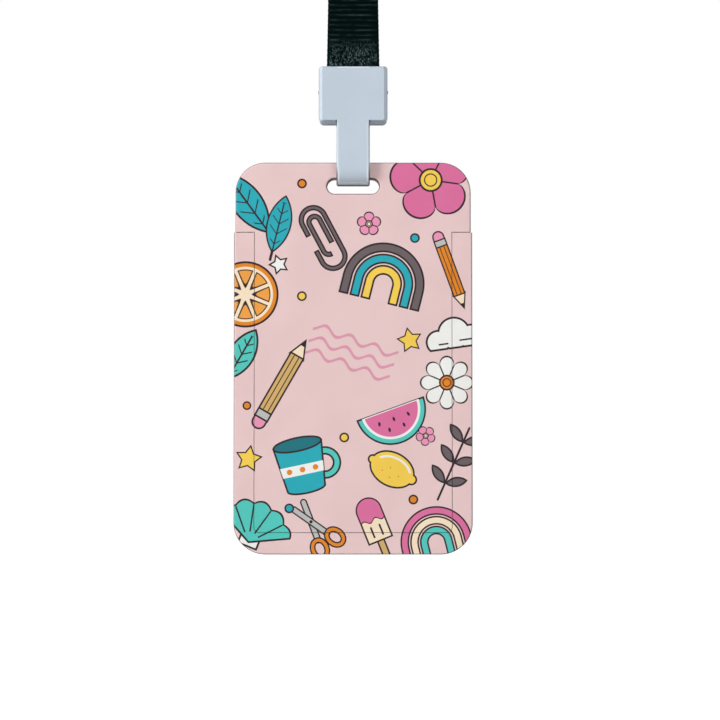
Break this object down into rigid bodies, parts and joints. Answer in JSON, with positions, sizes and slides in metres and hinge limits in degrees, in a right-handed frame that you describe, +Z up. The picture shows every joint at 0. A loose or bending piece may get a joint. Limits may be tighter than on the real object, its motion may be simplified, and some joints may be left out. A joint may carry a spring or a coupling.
{
  "type": "slide-open card case on a lanyard clip",
  "caption": "Slim portrait card case whose shell slides down off a slotted tray, hung from a T-shaped plastic lanyard clip on a folded flat neck strap.",
  "frame": {"origin": "the hang point: the axis of the peg that the top bend of the strap's hank goes over, on the case's middle plane", "axes": "+Z up along the hanging strap and case, +X to the viewer's right, -Y the printed front"},
  "size_m": [0.0676, 0.0218, 0.2741],
  "materials": {
    "case": "satin printed pink",
    "clip": "satin pale blue-grey",
    "pin": "dull",
    "strap": "ribbed black webbing",
    "tie": "elastic band"
  },
  "bodies": {
    "clip": {"clip_body": "clip", "clip_back_cover": "clip", "gate_pin": "pin", "neck_strap": "strap", "strap_hank": "strap", "hank_tie": "tie"},
    "gate": {"clip_gate": "clip"},
    "holder": {"card_tray": "case"},
    "shell": {"case_shell": "case"}
  },
  "joints": [
    {"name": "gate_swing", "type": "hinge", "parent": "clip", "child": "gate", "pos_m": [0, -0.00615, -0.1325], "axis": [-1, 0, 0], "range_deg": [0, 14], "stiffness_Nm_per_rad": 0.05, "springref_deg": -5.73},
    {"name": "case_swing", "type": "hinge", "parent": "clip", "child": "holder", "pos_m": [0, -0.0071, -0.15485], "axis": [1, 0, 0], "range_deg": [-100, 100]},
    {"name": "shell_slide", "type": "slide", "parent": "holder", "child": "shell", "axis": [0, 0, -1], "range_m": [0, 0.065]}
  ]
}
